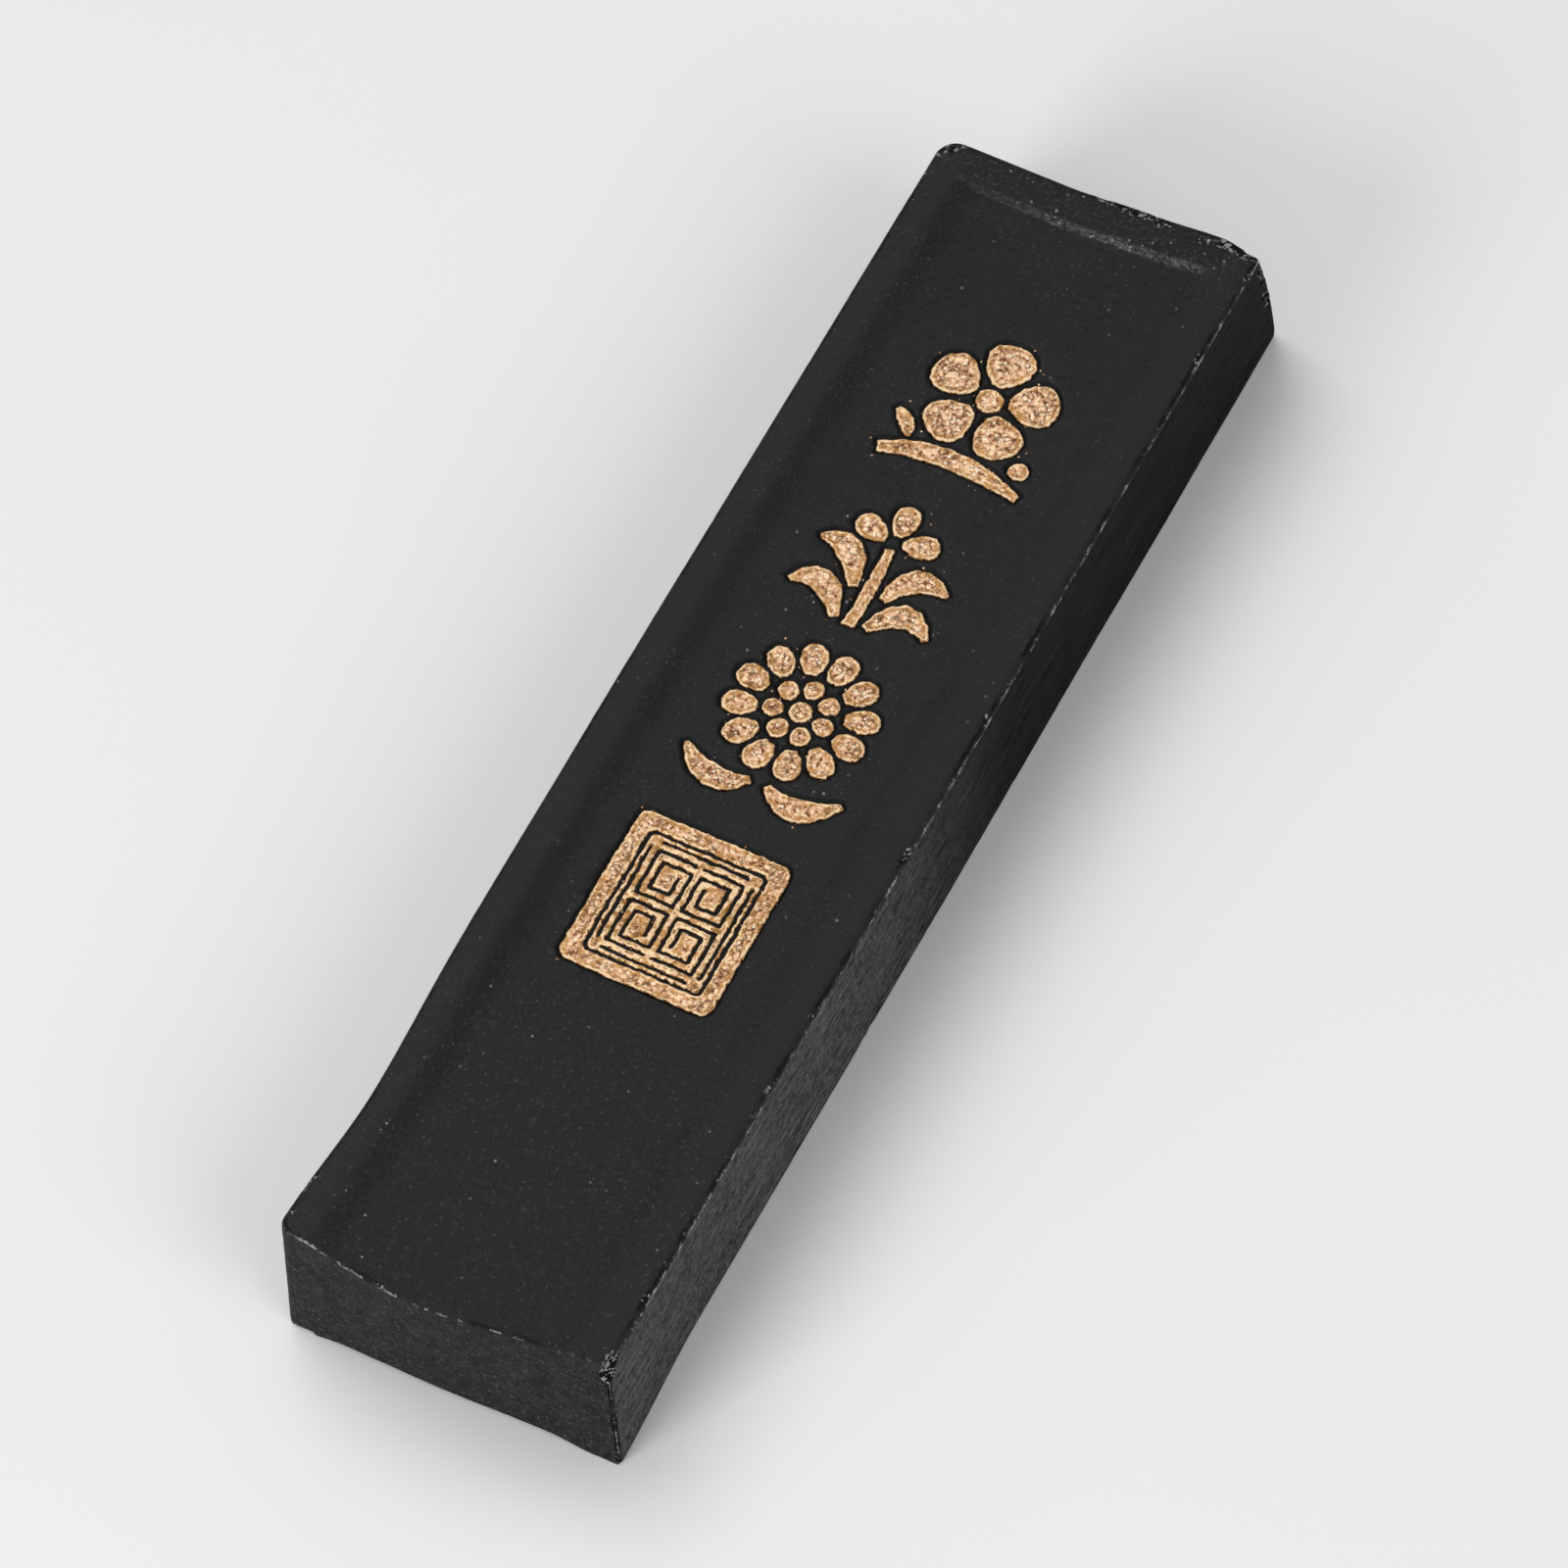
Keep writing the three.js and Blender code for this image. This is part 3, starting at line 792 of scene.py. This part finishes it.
def make_gilt():
    """Gold paint: grainy in the middle of a patch, smoother and yellower towards its rim."""
    material, tree, surface = new_material("gilt_paint")
    place = millimetres(tree)
    inside = stored(tree, "inside")
    from_rim = plus(tree, inside, times(tree, clouds(tree, place, 0.7, 2, 0.5, 2.0), 0.8))
    middle = step(tree, from_rim, 0.62, 0.86)
    colour, flake = gold_grains(tree, place, middle)
    colour = mix_colour(tree, times(tree, step(tree, from_rim, 0.80, 0.66), 0.7), colour, RIM_GOLD)
    gaps = times(tree, dark_gaps(tree, place), mix_value(tree, middle, 0.6, 0.75))
    colour = mix_colour(tree, gaps, colour, BROWN_GOLD)
    worn = step(tree, clouds(tree, place, 0.36, 3, 0.7, 5.0), 0.60, 0.66)
    colour = mix_colour(tree, times(tree, worn, 0.7), colour, BROWN_GOLD)
    colour = gilt_rim(tree, place, inside, colour)
    glint = times(tree, specks(tree, place, 0.30, 0.22, 0.5), mix_value(tree, middle, 0.3, 1.0))
    colour = mix_colour(tree, glint, colour, PALE_GOLD)
    roughness = mix_value(tree, flake, 0.6, 0.42)
    finish_material(tree, surface, colour, roughness, times(tree, flake, 0.05))
    surface.inputs["Metallic"].default_value = 0.2
    surface.inputs["Specular IOR Level"].default_value = 0.25
    return material


# ---- the ink's material ----

def pressed_ink(tree, place):
    """Bare ink as it came from the mould, faintly mottled with a fine grain; also both noises."""
    mottle = clouds(tree, place, 2.4, 4, 0.55, 1.0)
    grain = clouds(tree, place, 0.16, 3, 0.6, 2.0)
    colour = mix_colour(tree, step(tree, mottle, 0.35, 0.65), soot(0.008), soot(0.011))
    return mix_colour(tree, step(tree, grain, 0.48, 0.75), colour, soot(0.018)), grain, mottle


def scraped_and_shaded_ink(tree, place, colour):
    """The long sides: powdery and paler towards the near end, with the far half left dark as painted
    shade; faint ridges along the length and clusters of dark grooves, fewer near that end. Also gives
    the depth of the grooves, and a mask that is 1 on the powdery near half and 0 in the painted shade."""
    swaying = bend(tree, place, 7.0, 1.6)
    ridge = clouds(tree, stretched(tree, swaying, 5, 7, 0.36), 1.0, 4, 0.65, 3.0)
    groove = clouds(tree, stretched(tree, swaying, 5, 2.6, 0.21), 1.0, 2, 0.5, 4.0)
    powder = clouds(tree, place, 0.30, 4, 0.75, 5.0)
    away = coordinate(tree, place, "Y")
    cluster = step(tree, clouds(tree, stretched(tree, place, 5, 7, 3), 1.0, 2, 0.5, 4.5), 0.40, 0.60)
    cluster = times(tree, cluster, mix_value(tree, step(tree, away, -34, -12), 0.35, 1.0))
    # Painted shade: this mask is 1 on the powdery near half and 0 on the far half, which stays dark.
    near_powder_far_shade = step(tree, plus(tree, away, times(tree, ridge, 14)), 16, -8)
    dusty = mix_colour(tree, step(tree, powder, 0.38, 0.62), soot(0.017), soot(0.095))
    colour = mix_colour(tree, near_powder_far_shade, colour, dusty)
    scuffed_out_of_shade = times(tree, near_powder_far_shade, mix_value(tree, cluster, 0.2, 1.0))
    pale = times(tree, step(tree, ridge, 0.48, 0.64), plus(tree, scuffed_out_of_shade, 0.06))
    colour = mix_colour(tree, pale, colour, soot(0.16))
    light = times(tree, near_powder_far_shade, step(tree, powder, 0.60, 0.70))
    colour = mix_colour(tree, times(tree, light, 0.7), colour, soot(0.20))
    dark = times(tree, step(tree, groove, 0.55, 0.60), mix_value(tree, cluster, 0.2, 1.0))
    return mix_colour(tree, dark, colour, soot(0.002)), times(tree, groove, cluster), near_powder_far_shade


def ground_ink(tree, place):
    """The ends: soft granular blotches."""
    blotch = clouds(tree, place, 0.9, 5, 0.65, 6.0)
    crumb = clouds(tree, place, 0.22, 3, 0.6, 7.0)
    colour = mix_colour(tree, step(tree, blotch, 0.34, 0.66), soot(0.014), soot(0.028))
    colour = mix_colour(tree, step(tree, crumb, 0.44, 0.34), colour, soot(0.005))
    return mix_colour(tree, step(tree, crumb, 0.56, 0.68), colour, soot(0.07))


def dusty_ink_with_rim_sheen(tree, place, colour, distance):
    """The broad faces. The long rims are painted a little paler, as a sheen. Dust lies as fine specks
    in patches, round the ornament and towards the two ends, thickest on the far rim, with brighter
    crumbs."""
    # Painted sheen: the long rims are lifted a little paler.
    rim_sheen = step(tree, maths(tree, "ABSOLUTE", coordinate(tree, place, "X")), 7.4, 8.8)
    colour = mix_colour(tree, times(tree, rim_sheen, 0.5), colour, soot(0.018))
    away = coordinate(tree, place, "Y")
    far_rim = step(tree, away, 36.2, 37.2)
    ends = larger(tree, step(tree, away, -17, -25), step(tree, away, 33, 36))
    patch = step(tree, clouds(tree, place, 6, 2, 0.5, 8.0), 0.44, 0.66)
    near_paint = mix_value(tree, step(tree, distance, 1.8, 0.2), 0.35, 1.0)
    crowd = larger(tree, larger(tree, patch, near_paint), ends)

    sand = step(tree, clouds(tree, place, 0.22, 2, 0.7, 8.5), 0.53, 0.66)
    thick = mix_value(tree, far_rim, times(tree, crowd, 0.5), 1.0)
    colour = mix_colour(tree, times(tree, sand, thick), colour, soot(0.034))
    fine = times(tree, specks(tree, place, 0.42, 0.20, 0.35), crowd)
    colour = mix_colour(tree, times(tree, fine, 0.8), colour, soot(0.05))
    more = times(tree, specks(tree, place, 0.5, 0.2, 0.3), far_rim)
    crumb = times(tree, larger(tree, specks(tree, place, 0.9, 0.22, 0.34), more), crowd)
    level = step(tree, clouds(tree, place, 1.5, 2, 0.6, 8.8), 0.40, 0.60)
    return mix_colour(tree, times(tree, crumb, level), colour, soot(0.22))


def worn_and_highlit_edges(tree, place, colour, edge):
    """Edges dark beside their crest, and pale in dashes along it, as wear and painted highlight
    together.
    """
    wander = times(tree, clouds(tree, place, 0.7, 3, 0.65, 9.0), 0.5)
    patchy = step(tree, clouds(tree, place, 2.2, 2, 0.5, 9.5), 0.42, 0.55)
    dark = times(tree, step(tree, plus(tree, edge, wander), 0.54, 0.45), patchy)
    colour = mix_colour(tree, dark, colour, soot(0.0015))
    dashes = step(tree, clouds(tree, place, 0.7, 3, 0.65, 12.0), 0.49, 0.56)
    fine = times(tree, clouds(tree, place, 0.2, 2, 0.6, 13.0), 0.3)
    # Pale dashes along the crest: partly wear, partly painted highlight.
    crest = times(tree, step(tree, plus(tree, edge, fine), 0.24, 0.16), dashes)
    level = step(tree, clouds(tree, place, 0.9, 2, 0.5, 14.0), 0.3, 0.7)
    return mix_colour(tree, crest, colour, mix_colour(tree, level, soot(0.03), soot(0.34)))


def far_step_highlight(tree, place, colour, crease):
    """A painted highlight along the panel's far step, in streaks and specks."""
    streak = clouds(tree, stretched(tree, place, 0.40, 0.14, 1), 1.0, 3, 0.75, 10.0)
    sparkle = mix_value(tree, specks(tree, place, 0.3, 0.2, 0.5), 0.08, 0.30)
    highlight_grey = node(tree, "CombineColor", {0: sparkle, 1: sparkle, 2: sparkle}).outputs[0]
    # Painted highlight: the streaks are lifted towards a light grey.
    return mix_colour(tree, times(tree, crease, step(tree, streak, 0.42, 0.58)), colour, highlight_grey)


def chipped_ink(tree, place, colour, cut):
    """Where a chip was cut: painted black as shade in the hollow, with bright specks as painted glints.
    """
    chip_glints = step(tree, clouds(tree, place, 0.26, 2, 0.6, 11.0), 0.54, 0.60)
    return mix_colour(tree, cut, colour, mix_colour(tree, chip_glints, soot(0.002), soot(0.30)))


def round_paint(tree, place, colour, distance):
    """A dark line of painted shade in the recess round the paint, and a few flecks of gold that missed
    the recesses.
    """
    colour = mix_colour(tree, step(tree, distance, 0.26, 0.14), colour, soot(0.0015))
    gold, _ = gold_grains(tree, place, 0.0)
    stray = times(tree, specks(tree, place, 0.3, 0.16, 0.08), step(tree, distance, 0.75, 0.3))
    return mix_colour(tree, stray, colour, gold)


def make_ink():
    material, tree, surface = new_material("ink")
    place = millimetres(tree)
    side, end, cut, distance = (stored(tree, name) for name in ("side", "end", "cut", "paint_distance"))
    pressed, grain, mottle = pressed_ink(tree, place)
    scraped, groove, near_powder_far_shade = scraped_and_shaded_ink(tree, place, pressed)
    colour = mix_colour(tree, side, dusty_ink_with_rim_sheen(tree, place, pressed, distance), scraped)
    colour = mix_colour(tree, end, colour, ground_ink(tree, place))
    colour = round_paint(tree, place, colour, distance)
    colour = worn_and_highlit_edges(tree, place, colour, stored(tree, "edge_distance"))
    colour = far_step_highlight(tree, place, colour, stored(tree, "crease"))
    colour = chipped_ink(tree, place, colour, cut)

    on_wall = larger(tree, side, end)
    roughness = mix_value(tree, cut, mix_value(tree, mottle, 0.5, 0.64), 0.32)
    grooved = times(tree, times(tree, side, groove), -0.06)
    height = plus(tree, times(tree, grain, 0.014), grooved)
    finish_material(tree, surface, colour, mix_value(tree, on_wall, roughness, 0.7), height)
    shine = mix_value(tree, larger(tree, near_powder_far_shade, end), 0.03, 0.08)
    tree.links.new(mix_value(tree, on_wall, 0.2, shine), surface.inputs["Specular IOR Level"])
    return material


def make_floor_material():
    material, tree, surface = new_material("floor")
    fine = clouds(tree, millimetres(tree), 40, 3, 0.5, 1.0)
    colour = mix_colour(tree, fine, grey(0.88), grey(0.91))
    roughness = mix_value(tree, fine, 0.6, 0.7)
    finish_material(tree, surface, colour, roughness, times(tree, fine, 0.02))
    return material


# ---- stage, lights and camera ----

def make_floor():
    mesh = bpy.data.meshes.new("floor")
    reach = 3.0
    corners = [(-reach, -reach, 0), (reach, -reach, 0), (reach, reach, 0), (-reach, reach, 0)]
    mesh.from_pydata(corners, [], [(0, 1, 2, 3)])
    mesh.materials.append(make_floor_material())
    link("floor", mesh)


def view_direction(azimuth, elevation):
    """From the stick towards a viewer. Azimuth 0 looks along +Y."""
    a, e = math.radians(azimuth), math.radians(elevation)
    return Vector((math.sin(a) * math.cos(e), -math.cos(a) * math.cos(e), math.sin(e)))


def soft_light(name, azimuth, elevation, distance, size, watts):
    """A square light that faces the stick from a direction given as for a camera."""
    data = bpy.data.lights.new(name, "AREA")
    data.shape = "SQUARE"
    data.size = size
    data.energy = watts
    light = bpy.data.objects.new(name, data)
    light.location = view_direction(azimuth, elevation) * distance
    light.rotation_mode = "QUATERNION"
    light.rotation_quaternion = light.location.to_track_quat("Z", "Y")
    bpy.context.scene.collection.objects.link(light)


def make_camera():
    azimuth, elevation, roll = 30.5, 58.6, -3.8
    distance, lens = 0.623, 255
    data = bpy.data.cameras.new("camera")
    data.sensor_width = 36
    data.lens = lens
    data.clip_start, data.clip_end = 0.01, 20
    camera = bpy.data.objects.new("camera", data)
    toward = view_direction(azimuth, elevation)
    # It looks at the middle of the gilded face's length, half way up the stick.
    middle = (cad_low + cad_high) / 2 - Vector((0, FAR_LEAN / 2, 0)) * MM
    camera.location = middle + toward * distance
    camera.rotation_mode = "QUATERNION"
    turn = Quaternion((0, 0, 1), math.radians(roll))
    camera.rotation_quaternion = toward.to_track_quat("Z", "Y") @ turn
    bpy.context.scene.collection.objects.link(camera)
    bpy.context.scene.camera = camera


def make_world():
    world = bpy.data.worlds.new("studio")
    world.use_nodes = True
    background = world.node_tree.nodes["Background"]
    background.inputs["Color"].default_value = grey(0.30)
    bpy.context.scene.world = world
    bpy.context.scene.view_settings.view_transform = "Standard"


# ---- the scene ----

gilt_material = make_gilt()
ink_material = make_ink()
for gilt_node in GILT_NODES:
    paint_film(gilt_node)
ink_bar()
make_floor()
make_world()
soft_light("key", 70, 40, 0.9, 0.5, 2.2)
soft_light("front", -17, 27, 0.8, 0.35, 2.8)
soft_light("top", -120, 65, 1.0, 0.6, 3.4)
make_camera()
